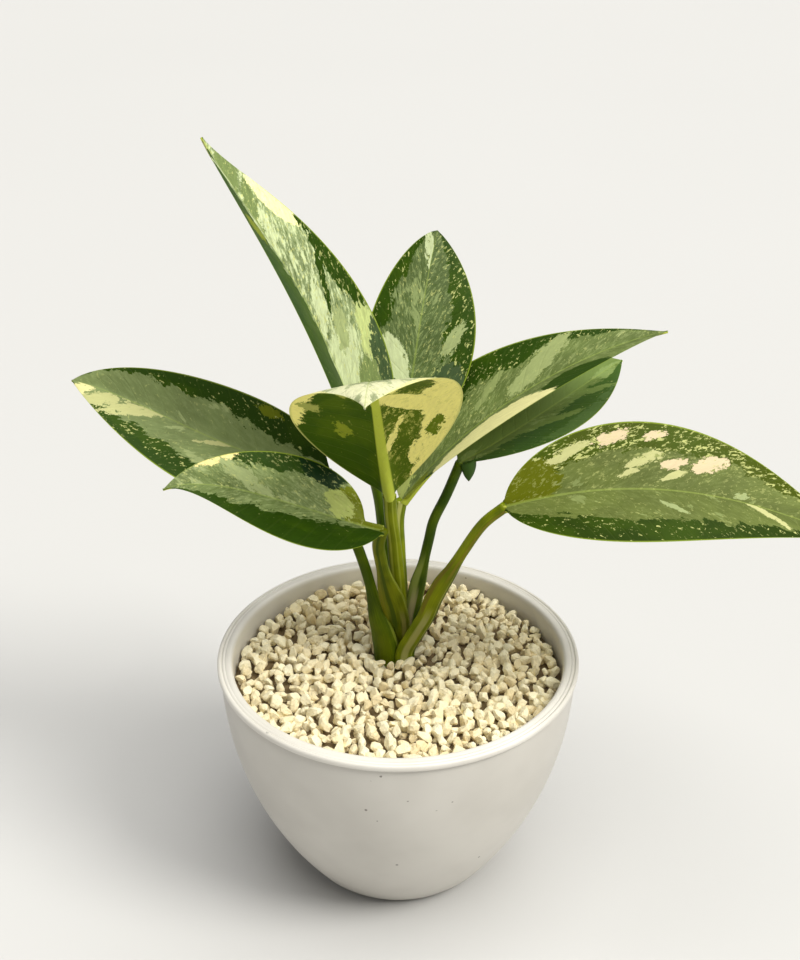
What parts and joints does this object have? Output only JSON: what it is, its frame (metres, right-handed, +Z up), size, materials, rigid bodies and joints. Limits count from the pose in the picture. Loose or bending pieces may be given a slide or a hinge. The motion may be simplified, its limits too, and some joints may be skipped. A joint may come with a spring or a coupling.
{
  "type": "potted aglaonema plant",
  "caption": "Young potted aglaonema with broad variegated leaves on sheathed petioles, in a pale bowl pot dressed with cream granules.",
  "frame": {"origin": "centre of the pot's flat base, on the surface that it stands on", "axes": "+Z up along the pot's axis, -Y towards the front, +X to the right seen from the front"},
  "size_m": [0.2815, 0.1412, 0.2886],
  "materials": {
    "leaf_blade": "satin, variegated grey-green, dark green and cream",
    "petiole": "satin olive green",
    "stem": "matte green",
    "pot": "satin pale warm grey with fine dark specks",
    "potting_mix": "matte dark brown crumbs",
    "top_dressing": "matte cream stone"
  },
  "bodies": {
    "root": {"blade_1": "leaf_blade", "blade_2": "leaf_blade", "blade_3": "leaf_blade", "blade_4": "leaf_blade", "blade_5": "leaf_blade", "blade_6": "leaf_blade", "blade_7": "leaf_blade", "blade_8": "leaf_blade", "petiole_1": "petiole", "petiole_2": "petiole", "petiole_3": "petiole", "petiole_4": "petiole", "petiole_5": "petiole", "petiole_6": "petiole", "petiole_7": "petiole", "petiole_8": "petiole", "stem": "stem", "pot": "pot", "potting_mix": "potting_mix", "top_dressing": "top_dressing"}
  },
  "joints": []
}
